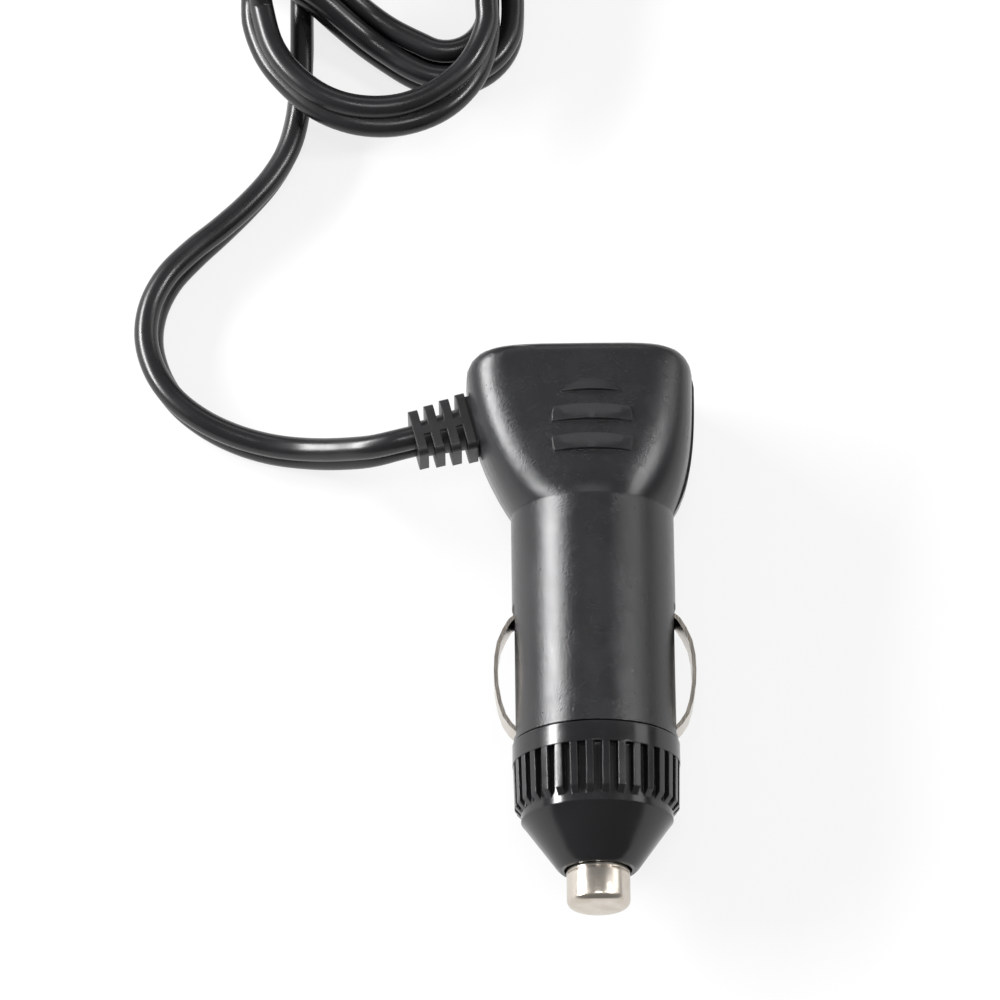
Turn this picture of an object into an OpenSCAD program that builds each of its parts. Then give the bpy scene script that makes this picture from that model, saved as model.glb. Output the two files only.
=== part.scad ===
// Car power splitter: a sprung plug with a wide head, a coiled twin lead and a twin socket housing.
// The plug's axis is the Y axis through the origin, and its tip points to -Y.
// Y = 0 is the shoulder where the head meets the barrel. The plug lies with its front face up (+Z).
// Sizes are in millimetres.

/* [Barrel] */
// Diameter of the plug's barrel
barrel_d = 20.84; // [20.5:0.02:21.0]
// Length of the barrel from the head's shoulder to the nose cap
barrel_len = 30.3; // [29.3:0.1:36]
// Wall thickness of the barrel and the head
shell_wall = 1.8; // [1.4:0.1:2.0]
// Diameter of the spigot that the nose cap screws on
spigot_d = 16.0; // [15:0.1:16.4]
// Length of the spigot
spigot_len = 6.8; // [5.5:0.1:7.2]
// Diameter of the tunnel that holds the fuse and its spring
tunnel_d = 7.0; // [6.8:0.1:7.2]
// Wall of the tunnel
tunnel_wall = 1.2; // [0.8:0.1:1.4]

/* [Head] */
// Length of the head, from the shoulder to its end face
head_len = 21; // [20:0.5:26]
// Reach of the head from the axis to the side with the lead
head_left = 16.1; // [15:0.1:18]
// Reach of the head from the axis to the plain side
head_right = 13.1; // [12.5:0.1:15]
// Reach of the front face from the axis
front_depth = 9.5; // [9:0.1:10.5]
// How far the rear shell's rim stands out past the front shell, on the plain side
rim_step = 0.3; // [0:0.05:0.5]
// Diameter of the neck, a little under the barrel
neck_d = 20.2; // [19.8:0.05:20.4]
// Plan radius of the head's two end corners
corner_r = 3; // [2:0.5:4]
// Edge radius around the end face
edge_r = 1.2; // [0.8:0.1:2]

/* [Finger ridges] */
// Height of each ridge at the middle of its lower edge
ridge_h = 0.75; // [0.5:0.05:1]
// Length of each ridge along the plug
ridge_len = 2.3; // [1.9:0.1:2.6]
// Distance from one ridge to the next
ridge_pitch = 4; // [3.5:0.1:4.5]
// Width of the oval that the ridges fill
ridge_w = 10.3; // [8:0.1:11]
// Length of the oval that the ridges fill
ridge_oval_len = 13.6; // [12:0.1:15]
// Centre of the oval, from the shoulder
ridge_y = 8.9; // [8.5:0.1:9.6]

/* [Nose cap] */
// Outer diameter of the cap's band and ribs
cap_d = 21.2; // [20.8:0.05:21.4]
// Gap that shows between the barrel and the cap
cap_gap = 0.25; // [0.1:0.05:0.4]
// Length of the smooth band
cap_band = 2.6; // [2:0.1:3.5]
// Length of the ribs
cap_rib_len = 6.5; // [5.5:0.1:7.5]
// Number of ribs round the cap
cap_ribs = 32; // [24:1:36]
// Width of one rib
cap_rib_w = 0.95; // [0.7:0.05:1.1]
// Height of one rib above the skirt
cap_rib_h = 1.0; // [0.6:0.05:1.1]
// Length of the plain skirt below the ribs
cap_skirt = 0.9; // [0.5:0.1:1.5]
// Length of the cone
cap_cone = 6.4; // [5:0.1:7]
// Diameter of the cone's end face
nose_d = 10.4; // [10:0.1:12]
// Thickness of the cap's end wall
nose_wall = 3; // [2.2:0.1:3.5]
// Running clearance between the cap and the spigot, on the radius
thread_clear = 0.05; // [0.02:0.01:0.1]

/* [Contact tip] */
// Diameter of the contact tip
tip_d = 8; // [7.6:0.1:8.4]
// How far the tip stands out of the cap
tip_out = 4.9; // [4:0.1:5.5]
// How far the tip can be pressed in
tip_stroke = 2; // [1.5:0.1:2.1]
// Radius of the tip's rounded rim
tip_round = 1.05; // [0.6:0.05:1.4]
// Diameter of the flange that keeps the tip in the cap
tip_flange_d = 10.8; // [10:0.1:11.4]
// Thickness of the flange
tip_flange = 1.6; // [1.2:0.1:2]
// Clearance of the tip in the cap, on the radius
tip_clear = 0.3; // [0.15:0.05:0.4]

/* [Fuse and spring] */
// Diameter of the fuse's end caps
fuse_d = 6.35; // [6.3:0.01:6.4]
// Length of the fuse
fuse_len = 31.8; // [30:0.1:32]
// Length of each end cap
fuse_cap_len = 6.3; // [5:0.1:7]
// Diameter of the glass tube
glass_d = 5.5; // [5:0.1:5.6]
// Wire of the contact spring
coil_wire_d = 0.6; // [0.5:0.05:0.7]
// Outside diameter of the contact spring
coil_d = 5.8; // [5:0.1:6.2]
// Turns of the contact spring
coil_turns = 6; // [4:1:7]
// Thickness of the brass seat behind the spring
seat_t = 0.6; // [0.5:0.1:0.8]

/* [Side springs] */
// Width of each leaf
leaf_w = 4.5; // [3.5:0.1:5]
// Thickness of each leaf
leaf_t = 0.5; // [0.4:0.05:0.6]
// How far each leaf bows out of the barrel
leaf_out = 2.4; // [2:0.1:2.6]
// Clearance of a leaf in its slot, on each side
leaf_clear = 0.25; // [0.15:0.05:0.4]
// Thickness of the ring that joins the leaves to the lead
ring_t = 0.4; // [0.3:0.05:0.45]

/* [Shell screws] */
// Diameter of the shell screws
screw_d = 2.2; // [2:0.1:2.4]
// Diameter of the screw heads
screw_head_d = 4; // [3.6:0.1:4.2]
// Height of the screw heads
screw_head_h = 1.4; // [1.2:0.1:1.6]

/* [Lead] */
// Diameter of one core of the twin lead
core_d = 3.1; // [3:0.05:3.2]
// Overall width of the twin lead, which stands on edge
lead_w = 5.8; // [5.6:0.05:6]

/* [Strain relief] */
// Length of the ribbed sleeve outside the wall
relief_len = 7.7; // [7:0.1:9]
// Height of the ribs
relief_high = 6.5; // [6.3:0.1:7.2]
// Height of the sleeve's oval core
relief_core_high = 6.1; // [6.1:0.05:6.3]
// Width of the core at the wall
relief_core = 5.6; // [5:0.1:6]
// Width of the core at its tip
relief_tip = 4.2; // [4:0.1:5]
// Width over the rib next to the wall
relief_big = 7.8; // [7.2:0.1:9]
// Width over the outermost rib
relief_small = 6.3; // [6:0.1:7.2]
// Thickness of each rib
relief_rib = 1.2; // [1:0.05:1.3]
// Number of ribs
relief_ribs = 4; // [3:1:4]
// Width of the groove that grips the wall
relief_neck = 6.2; // [5.8:0.1:6.3]

/* [Socket housing] */
// Inside diameter of each socket
socket_d = 21.45; // [21.4:0.05:21.6]
// Depth of each socket, from its mouth to its floor
socket_depth = 42; // [40:0.5:46]
// Distance between the two sockets' axes
socket_pitch = 31; // [30:0.5:36]
// Wall outside each socket's sleeve
housing_wall = 2.8; // [2.4:0.1:3.4]
// Edge radius round the housing's cord side
housing_edge = 3; // [1:0.5:4]
// Edge radius round the sockets' mouths
mouth_edge = 1; // [0.5:0.1:1.2]
// Length of the wiring chamber behind the sockets
chamber_len = 14; // [13.5:0.5:18]
// Thickness of the metal sleeves
sleeve_t = 0.6; // [0.5:0.05:0.8]

/* [Hidden] */

$fn = 64;
tiny = 0.01;
plastic = [0.10, 0.10, 0.11];
gloss_black = [0.05, 0.05, 0.055];
rubber_black = [0.07, 0.07, 0.075];
nickel = [0.78, 0.74, 0.69];
brass = [0.80, 0.66, 0.36];
glass_clear = [0.85, 0.92, 0.92];
wire_red = [0.65, 0.08, 0.07];
wire_black = [0.06, 0.06, 0.06];
fibre = [0.45, 0.24, 0.12];

// The barrel and its inside
barrel_r = barrel_d / 2;
neck_r = neck_d / 2;
bore_r = barrel_r - shell_wall;
tunnel_r = tunnel_d / 2;
tunnel_out = tunnel_r + tunnel_wall;
spigot_r = spigot_d / 2;
spigot_end = barrel_len + spigot_len;
front_wall = 0.35;
cavity_end = barrel_len - front_wall;

// The plug lies on its cap, and the rear face is level with the cap
floor_z = -cap_d / 2;
rear_depth = cap_d / 2;

// Stations along the plug, measured from the shoulder towards the tip
cap_start = barrel_len + cap_gap;
rib_start = cap_start + cap_band;
rib_end = rib_start + cap_rib_len;
skirt_end = rib_end + cap_skirt;
cap_end = skirt_end + cap_cone;
skirt_r = cap_d / 2 - cap_rib_h;
cap_bore_end = spigot_end + 1.2;
cap_seat = cap_end - nose_wall;
tip_end = cap_end + tip_out;
flange_back = cap_seat - tip_flange;
cup_back = spigot_end + tip_stroke + 0.45;
fuse_front = flange_back;
fuse_back = fuse_front - fuse_len;
seat_back = 1;
seat_front = seat_back + seat_t;
fuse_clear = 0.075;

// The finger ridges: [lower edge from the oval's centre, length, plan radius of the upper edge]
ridge_rows = [
    [1.2 + ridge_pitch, ridge_len - 0.7, 5.4], [1.2, ridge_len, 24], [1.2 - ridge_pitch, ridge_len, 24]
];
ridge_lower_arc = 50;
// The ridges are highest in the middle, as steps cut into a dome
ridge_dome = 20;

// The strain relief leaves the head square to its slanted side
relief_y = 12.9;
relief_turn = 14;
relief_wall = 2.4;
relief_plug = 2.4;
relief_flange = 7;
relief_web = 1.14;
// How far the relief and its window reach inwards from the wall's face
relief_depth = relief_wall + relief_plug;

// The twin socket housing lies past the coil, with its cord side towards the plug
housing_x = -18;
housing_y = 124;
socket_r = socket_d / 2;
sleeve_r = socket_r + sleeve_t;
seat_gap = 0.05;
housing_bore = sleeve_r + seat_gap;
housing_r = housing_bore + housing_wall;
housing_z = floor_z + housing_r;
floor_disc = 1.8;
floor_rim = 1.4;
housing_len = chamber_len + floor_disc + socket_depth;
housing_front = 2;
post_r = 2.6;

// The lead: it stands on edge, so its centre runs half its width above the floor
lead_z = floor_z + lead_w / 2 + 0.05;
coil_lift = 0.6;
// Route from the strain relief to the coil: [x, y, height above the lead's lowest line]
run_route = [
    [-22.8, 11.03, 7.65], [-24.8, 10.53, 7.65], [-28, 10.2, 6.5], [-32, 10.8, 3.95], [-36.8, 11.9, 1.3],
    [-41.6, 13.05, 0.1], [-46.2, 14.6, 0], [-50.3, 16.85, 0], [-53.8, 19.9, 0], [-56.2, 23.7, 0],
    [-57.4, 28.3, 0], [-56.9, 32.8, 0], [-54.9, 37, 0], [-51.7, 40.6, 0], [-48.2, 43.8, 0],
    [-44.6, 47.4, 0], [-41.5, 51.2, 0], [-39.2, 55.5, 0], [-38, 60.2, 0], [-37.55, 65, 0],
    [-37.4, 70, 0], [-37.4, 73.3, 0]
];
// Route from the loop's left end over the coil to the housing: [x, y, z]
tail_route = [
    [-43, 71.65, -1.2], [-43.15, 73.4, -1], [-43.1, 75.6, 1], [-42.3, 78.2, 3.4], [-40.4, 81.2, 4.4],
    [-37.4, 84.3, 4], [-33.8, 87.3, 2.9], [-30, 90.6, 2], [-26.4, 94.4, 1.4], [-23.2, 98.8, 1.2],
    [-20.6, 103.6, 1.6], [-18.7, 108.4, 2.7], [-18, 113, 3.575], [-18, 116.26, 3.575]
];

// The coil is a rounded triangle of two to three strands side by side: [x, y, radius] of each corner
coil_outer = [[-18.1, 73.6, 10.3], [-41.8, 93.8, 13.5], [-18, 98.4, 13.5]];
coil_inner = [[-18.1, 73.6, 4], [-31.4, 95.35, 4.45], [-18, 98.4, 4]];
// The loop is an open turn on top of it
loop_centre = [-28, 72.3];
loop_out = 17.4;
loop_in = 12.7;
loop_start = 183;
loop_turn = 182;

// Turns the local Z axis towards the plug's tip
module tipward() {
    rotate([90, 0, 0]) children();
}

// A ring or disc on the plug's axis between two stations
module disc(r, from, to) {
    tipward() translate([0, 0, from]) cylinder(r = r, h = to - from);
}

// Shape of the head
function ease(u, p) = 1 - pow(1 - min(1, max(0, u)), p);
function drop(y, r) = y > head_len - r ? r - sqrt(max(0, r * r - pow(y - head_len + r, 2))) : 0;
function half_width(y, side, p) = neck_r + (side - neck_r) * ease(y / head_len, p) - drop(y, corner_r);
function depth(y, full) = full + (neck_r - full) * pow(max(0, 1 - y / 2.4), 2) - drop(y, edge_r);
function squareness(y) = 2 + 2.5 * pow(min(1, max(0, y / head_len)), 0.7);
function bend(v, n) = sign(v) * pow(abs(v), 2 / n);
function outline_point(y, a, full, inset, step) =
    let (
        n = squareness(y),
        side = cos(a) > 0 ? half_width(y, head_right, 3.6) : half_width(y, head_left, 2.1)
    )
    let (rim = cos(a) > 0 ? step * ease(y / 5, 2) : 0)
    [(side - inset + rim) * bend(cos(a), n), y, (depth(y, full) - inset) * bend(sin(a), n)];

// Faces of a skin over rows of points, closed at both ends
function skin_faces(rows, n) = concat(
    [for (j = [0:rows - 2], i = [0:n - 1]) [j * n + i, j * n + (i + 1) % n, (j + 1) * n + (i + 1) % n]],
    [for (j = [0:rows - 2], i = [0:n - 1]) [j * n + i, (j + 1) * n + (i + 1) % n, (j + 1) * n + i]],
    [[for (i = [n - 1:-1:0]) i]],
    [[for (i = [0:n - 1]) (rows - 1) * n + i]]
);

// Half of the head as a closed solid, above the split plane
module half_head(stations, full, inset, step) {
    steps = 20;
    points = [for (y = stations, i = [0:steps]) outline_point(y, 180 * i / steps, full, inset, step)];
    polyhedron(points = points, faces = skin_faces(len(stations), steps + 1), convexity = 4);
}

head_main = head_len - corner_r;
outer_stations = concat(
    [-0.5, 0, 0.8, 1.6, 2.4],
    [for (j = [1:9]) 2.4 + (head_main - 2.4) * j / 9],
    [for (b = [18:18:90]) head_main + corner_r * sin(b)]
);
inner_stations = [for (j = [0:8]) 0.4 + (head_len - 2.5 - 0.4) * j / 8];

// A leaf can be pressed in until it is level with the cap's band
leaf_stroke = leaf_out - (cap_d - barrel_d) / 2;
// Centre line of a leaf for the side at +X: [x, station]
bow = barrel_r + leaf_out - leaf_t / 2;
leaf_foot = cavity_end - ring_t - leaf_t / 2 - 0.05;
leaf_line = [
    [tunnel_out + leaf_stroke + 0.2, leaf_foot], [barrel_r - 1.2, leaf_foot], [barrel_r - 0.45, leaf_foot - 0.25],
    [barrel_r + 0.35, leaf_foot - 1.05], [barrel_r + 1.15, leaf_foot - 2.3], [bow - 0.45, leaf_foot - 4.1],
    [bow - 0.08, leaf_foot - 6.3], [bow, leaf_foot - 8.2], [bow - 0.08, leaf_foot - 10.1],
    [bow - 0.42, leaf_foot - 12], [bow - 1.15, leaf_foot - 13.7], [barrel_r + 0.3, leaf_foot - 14.9],
    [barrel_r - 0.6, leaf_foot - 15.7], [barrel_r - 1.25, leaf_foot - 16.6]
];
slot_front = leaf_foot + leaf_t / 2 + 0.2;
slot_back = leaf_foot - 17.1;

// Points of a strip with a constant thickness along a line of [x, y] points
function along(line, i) =
    let (a = line[max(0, i - 1)], b = line[min(len(line) - 1, i + 1)], d = b - a) d / norm(d);
function strip_side(line, off) = [
    for (i = [0:len(line) - 1]) let (t = along(line, i)) line[i] + off * [-t[1], t[0]]
];
function backwards(list) = [for (i = [len(list) - 1:-1:0]) list[i]];
function strip(line, t) = concat(strip_side(line, t / 2), backwards(strip_side(line, -t / 2)));

// A tube along a route of [x, y, z] points: oval, with its long axis upright
function heading(route, i) =
    let (a = route[max(0, i - 1)], b = route[min(len(route) - 1, i + 1)], d = b - a) d / norm(d);
function oval_ring(p, t, w, h, n) =
    let (side = cross(t, [0, 0, 1]) / norm(cross(t, [0, 0, 1])), top = cross(side, t))
    [for (k = [0:n - 1]) p + side * (w / 2) * cos(360 * k / n) + top * (h / 2) * sin(360 * k / n)];
module tube(route, w, h, n) {
    points = [for (i = [0:len(route) - 1]) each oval_ring(route[i], heading(route, i), w, h, n)];
    polyhedron(points = points, faces = skin_faces(len(route), n), convexity = 6);
}
module wire(route, d) {
    tube(route, d, d, 8);
}
function on_floor(route) = [for (p = route) [p[0], p[1], p[2] + lead_z]];

// Places for the shell screws: [x, y]
screw_places = [[-6.2, 16.6], [7.2, 14.2]];
screw_clear = 0.15;
pilot_r = screw_d / 2 + 0.03;
screw_seat = -6.4;

// Where the strain relief crosses the head's left side
module at_relief() {
    translate([-half_width(relief_y, head_left, 2.1), relief_y, 0]) rotate([0, 0, 180 + relief_turn]) children();
}

// Everything that both shells are cut by
module shell_cuts() {
    disc(bore_r, -0.5, cavity_end);
    disc(tunnel_r, cavity_end - 1, barrel_len + 1);
    at_relief() translate([-relief_depth, 0, 0])
        cube([2 * relief_depth + 4, relief_neck + 0.1, relief_neck + 0.1], center = true);
    for (side = [-1, 1])
        translate([side * (bore_r + 1) - 2.5, -slot_front, -leaf_w / 2 - leaf_clear])
            cube([5, slot_front - slot_back, leaf_w + 2 * leaf_clear]);
}

// The tunnel for the fuse, with its web to the barrel's wall
module tunnel_walls() {
    difference() {
        union() {
            disc(tunnel_out, -0.6, cavity_end + 0.1);
            translate([-0.6, -cavity_end + 1, -bore_r - 0.3])
                cube([1.2, cavity_end - 1.5, 2 * bore_r + 0.6]);
        }
        disc(tunnel_r, seat_back, spigot_end + 1);
        disc(1.3, -1, seat_back + 1);
    }
}

// A shell before it is split: side = 1 is the front, -1 the rear
module shell(side) {
    full = side > 0 ? front_depth : rear_depth;
    step = side > 0 ? 0 : rim_step;
    difference() {
        union() {
            difference() {
                union() {
                    mirror([0, 0, side > 0 ? 0 : 1]) half_head(outer_stations, full, 0, step);
                    difference() {
                        disc(barrel_r, 0, barrel_len);
                        translate([0, 0, -side * 20]) cube([60, 90, 40], center = true);
                    }
                }
                mirror([0, 0, side > 0 ? 0 : 1]) half_head(inner_stations, full, shell_wall, step);
                shell_cuts();
            }
            difference() {
                union() {
                    tunnel_walls();
                    difference() {
                        disc(spigot_r, cavity_end, spigot_end);
                        disc(tunnel_r, cavity_end - 1, spigot_end + 1);
                    }
                }
                translate([0, 0, -side * 20]) cube([60, 90, 40], center = true);
            }
            for (p = screw_places) translate([p[0], p[1], side > 0 ? 0 : -rear_depth + 1])
                cylinder(r = 2.4, h = (side > 0 ? front_depth : rear_depth) - 1);
        }
        for (p = screw_places) translate([p[0], p[1], 0]) {
            if (side > 0) translate([0, 0, -1]) cylinder(r = pilot_r, h = 6.6);
            else {
                translate([0, 0, -rear_depth - 1]) cylinder(r = screw_d / 2 + screw_clear, h = rear_depth + 2);
                translate([0, 0, -rear_depth - 1])
                    cylinder(r = screw_head_d / 2 + screw_clear, h = rear_depth + 1 + screw_seat);
            }
        }
    }
}

// Outline of the oval that the finger ridges fill, a little squarer than an ellipse
function bulge(v) = sign(v) * pow(abs(v), 0.8);
function oval(w, l, n) = [
    for (k = [0:n - 1]) [w / 2 * bulge(cos(360 * k / n)), l / 2 * bulge(sin(360 * k / n))]
];

// One ridge, which rises from its arched upper edge to its lower edge
module finger_ridge(lower, length, arc) {
    difference() {
        translate([0, ridge_y + lower + length - arc, front_depth]) rotate_extrude($fn = 180)
            polygon([
                [arc - length - 0.8, -0.6], [arc, -0.6], [arc, 0.02], [arc - length, ridge_h],
                [arc - length - 0.8, ridge_h]
            ]);
        translate([0, ridge_y + lower - ridge_lower_arc, front_depth - 2])
            cylinder(r = ridge_lower_arc, h = 4, $fn = 180);
    }
}

module finger_ridges() {
    intersection() {
        union() for (row = ridge_rows) finger_ridge(row[0], row[1], row[2]);
        translate([0, ridge_y + ridge_oval_len, front_depth + ridge_h - ridge_dome]) rotate([90, 0, 0])
            cylinder(r = ridge_dome, h = 2 * ridge_oval_len, $fn = 180);
        translate([0, ridge_y, front_depth - 2]) linear_extrude(height = 4)
            polygon(oval(ridge_w, ridge_oval_len, 32));
    }
}

module front_shell() {
    color(plastic) union() {
        shell(1);
        finger_ridges();
    }
}

module rear_shell() {
    color(plastic) shell(-1);
}

module nose_cap() {
    r = cap_d / 2;
    bore = spigot_r + thread_clear;
    chamber = tip_flange_d / 2 + 0.5;
    hole = tip_d / 2 + tip_clear;
    color(gloss_black) union() {
        tipward() rotate_extrude() polygon([
            [bore, cap_start], [r, cap_start], [r, rib_start], [skirt_r, rib_start], [skirt_r, skirt_end],
            [skirt_r - 0.3, skirt_end + 0.35], [nose_d / 2, cap_end - 0.35], [nose_d / 2 - 0.4, cap_end],
            [hole, cap_end], [hole, cap_seat], [chamber, cap_seat], [chamber, cap_bore_end], [bore, cap_bore_end]
        ]);
        intersection() {
            union() for (k = [0:cap_ribs - 1]) rotate([0, 360 * (k + 0.5) / cap_ribs, 0])
                translate([-cap_rib_w / 2, -rib_end, skirt_r - 0.3])
                    cube([cap_rib_w, cap_rib_len + 0.1, cap_rib_h + 1]);
            tipward() rotate_extrude() polygon([
                [skirt_r - 1, rib_start - 0.5], [r - 0.05, rib_start - 0.5], [r - 0.2, rib_end - 0.9],
                [skirt_r, rib_end], [skirt_r - 1, rib_end]
            ]);
        }
    }
}

module contact_tip() {
    r = tip_d / 2;
    cup = fuse_d / 2 + fuse_clear;
    color(nickel) tipward() rotate_extrude() polygon(concat(
        [[0, flange_back], [cup, flange_back], [cup, cup_back], [cup + 1, cup_back], [cup + 1, flange_back - 0.02]],
        [[tip_flange_d / 2, flange_back - 0.02], [tip_flange_d / 2, cap_seat - 0.05], [r, cap_seat - 0.05]],
        [[r, cap_end + 0.45], [r - 0.2, cap_end + 0.5], [r - 0.2, cap_end + 0.65], [r, cap_end + 0.7]],
        [for (a = [0:15:90]) [r - tip_round + tip_round * cos(a), tip_end - tip_round + tip_round * sin(a)]],
        [[0, tip_end]]
    ));
}

module fuse_glass() {
    color(glass_clear) difference() {
        disc(glass_d / 2, fuse_back + 0.4, fuse_front - 0.4);
        disc(glass_d / 2 - 0.7, fuse_back, fuse_front);
    }
}

module fuse_end_caps() {
    color(nickel) for (end = [0, 1]) {
        back = end == 0 ? fuse_back : fuse_front - fuse_cap_len;
        difference() {
            disc(fuse_d / 2, back, back + fuse_cap_len);
            disc(glass_d / 2, end == 0 ? back + 0.4 : back - 1, end == 0 ? back + fuse_cap_len + 1 : fuse_front - 0.4);
        }
    }
}

module fuse_wire() {
    color(nickel) disc(0.2, fuse_back + 0.4, fuse_front - 0.4);
}

module contact_spring() {
    steps = 12;
    r = (coil_d - coil_wire_d) / 2;
    rest = coil_wire_d / 2 + 0.02;
    length = fuse_back - seat_front - 2 * rest;
    count = coil_turns * steps;
    route = [
        for (i = [0:count])
            [r * cos(360 * i / steps), -(seat_front + rest + length * i / count), r * sin(360 * i / steps)]
    ];
    points = [
        for (i = [0:count])
            let (t = heading(route, i), out = [cos(360 * i / steps), 0, sin(360 * i / steps)], up = cross(out, t))
            for (k = [0:5]) route[i] + coil_wire_d / 2 * (out * cos(60 * k) + up * sin(60 * k))
    ];
    color(nickel) polyhedron(points = points, faces = skin_faces(count + 1, 6), convexity = 12);
}

module spring_seat() {
    color(brass) {
        disc(tunnel_r - 0.05, seat_back + 0.02, seat_front);
        translate([-0.8, -seat_back - 0.1, -0.2]) cube([1.6, 5, 0.4]);
    }
}

module leaf() {
    color(nickel) translate([0, 0, -leaf_w / 2]) mirror([0, 1, 0]) linear_extrude(height = leaf_w)
        polygon(strip(leaf_line, leaf_t));
}

module side_spring_right() {
    leaf();
}

module side_spring_left() {
    mirror([1, 0, 0]) leaf();
}

ring_tab = [3.4, -5.9];
module ground_ring() {
    color(brass) {
        difference() {
            disc(bore_r - 0.2, cavity_end - ring_t, cavity_end - 0.02);
            disc(tunnel_out + 0.4, cavity_end - 1, cavity_end + 1);
        }
        translate([ring_tab[0] - 0.8, -cavity_end + 0.1, ring_tab[1] - 0.25]) cube([1.6, 3.2, 0.5]);
    }
}

// Where the two wires leave the strain relief inside the head
inward = [cos(relief_turn), sin(relief_turn), 0];
function relief_end(off) =
    [-half_width(relief_y, head_left, 2.1), relief_y, off] + (relief_depth + 0.1) * inward;
module positive_wire() {
    a = relief_end(1.6);
    color(wire_red) wire([
        a, a + inward, [-8.2, 13.2, 1.9], [-6.1, 10.9, 2.1], [-3.4, 8.5, 1.9], [-0.9, 6.4, 1.2],
        [0, 4.6, 0.95], [0, 2.6, 0.95]
    ], 1.4);
}
module negative_wire() {
    a = relief_end(-1.6);
    tab = [ring_tab[0], -cavity_end + 2.2, ring_tab[1] - 1];
    color(wire_black) wire([
        a, a + inward, [-8.2, 13, -2.2], [-6, 10, -3.9], [-3, 6.6, -5.2], [1, 3, -6.2], [tab[0], -1, tab[2]],
        [tab[0], -6, tab[2]], [tab[0], -14, tab[2]], [tab[0], -20, tab[2]], tab
    ], 1.4);
}

// The ribbed sleeve: local +X runs out along the lead, and the wall's face is at x = 0
module relief_body() {
    first = 0.15;
    pitch = (relief_len - relief_rib - first) / (relief_ribs - 1);
    color(rubber_black) union() {
        translate([-relief_depth, -relief_flange / 2, -relief_flange / 2])
            cube([relief_plug, relief_flange, relief_flange]);
        translate([-relief_wall - 0.1, -relief_neck / 2, -relief_neck / 2])
            cube([relief_wall + 0.3, relief_neck, relief_neck]);
        rotate([90, 0, 90])
            linear_extrude(height = relief_len, scale = [relief_tip / relief_core, 1], slices = 1)
                scale([relief_core / relief_core_high, 1]) circle(d = relief_core_high, $fn = 32);
        for (k = [0:relief_ribs - 1]) {
            w = relief_big + (relief_small - relief_big) * k / (relief_ribs - 1);
            translate([first + k * pitch, 0, 0]) rotate([90, 0, 90])
                linear_extrude(height = relief_rib) rounded(w, relief_high, 1);
        }
        translate([first, -relief_web / 2, -relief_high / 2]) cube([relief_len - 0.3, relief_web, relief_high]);
    }
}

// A rectangle with round corners, centred
module rounded(w, h, r) {
    square([w - 2 * r, h], center = true);
    square([w, h - 2 * r], center = true);
    for (x = [-1, 1], y = [-1, 1]) translate([x * (w / 2 - r), y * (h / 2 - r)]) circle(r = r, $fn = 24);
}

module strain_relief() {
    at_relief() relief_body();
}

module shell_screws() {
    color(nickel) for (p = screw_places) translate([p[0], p[1], 0]) {
        difference() {
            translate([0, 0, screw_seat - screw_head_h - 0.02]) cylinder(d = screw_head_d, h = screw_head_h);
            for (turn = [0, 90]) rotate([0, 0, turn])
                translate([-1.2, -0.25, screw_seat - screw_head_h - 1]) cube([2.4, 0.5, 1.7]);
        }
        translate([0, 0, screw_seat - 0.05]) cylinder(d = screw_d, h = 5 - screw_seat);
    }
}

module lead_run() {
    color(gloss_black) tube(on_floor(run_route), core_d, lead_w, 8);
}

module lead_tail() {
    color(gloss_black) tube(tail_route, core_d, lead_w, 8);
}

// A closed outline round three corners
module corners(places) {
    hull() for (p = places) translate([p[0], p[1]]) circle(r = p[2], $fn = 32);
}

module lead_coil() {
    color(gloss_black) translate([0, 0, floor_z + coil_lift]) linear_extrude(height = lead_w)
        difference() {
            corners(coil_outer);
            corners(coil_inner);
        }
}

module lead_loop() {
    color(gloss_black) translate([loop_centre[0], loop_centre[1], floor_z + coil_lift + lead_w + 0.05])
        rotate([0, 0, loop_start]) rotate_extrude(angle = loop_turn)
            translate([loop_in, 0]) square([loop_out - loop_in, lead_w]);
}

// The tie round the coil's far side
tie_place = [-29.72, 105.05];
tie_turn = 10.94;
tie_half = 4.8;
module lead_tie() {
    t = coil_lift - 0.05;
    color(rubber_black) translate([tie_place[0], tie_place[1], floor_z]) rotate([0, 0, tie_turn]) translate([-2, 0, 0])
        rotate([90, 0, 90]) linear_extrude(height = 4) difference() {
            translate([-tie_half - t, 0.02]) square([2 * (tie_half + t), lead_w + 2 * t + 0.06]);
            translate([-tie_half, coil_lift - 0.02]) square([2 * tie_half, lead_w + 0.04]);
        }
}

// The housing's own frame: +Y runs from its cord side to the sockets' mouths, and z = 0 is the split
module at_housing() {
    translate([housing_x, housing_y, housing_z]) children();
}
module both_sockets() {
    for (side = [-1, 1]) translate([side * socket_pitch / 2, 0, 0]) children();
}
// A disc on a socket's axis between two distances from the cord side
module socket_disc(r, from, to) {
    translate([0, from, 0]) rotate([-90, 0, 0]) cylinder(r = r, h = to - from);
}

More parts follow.
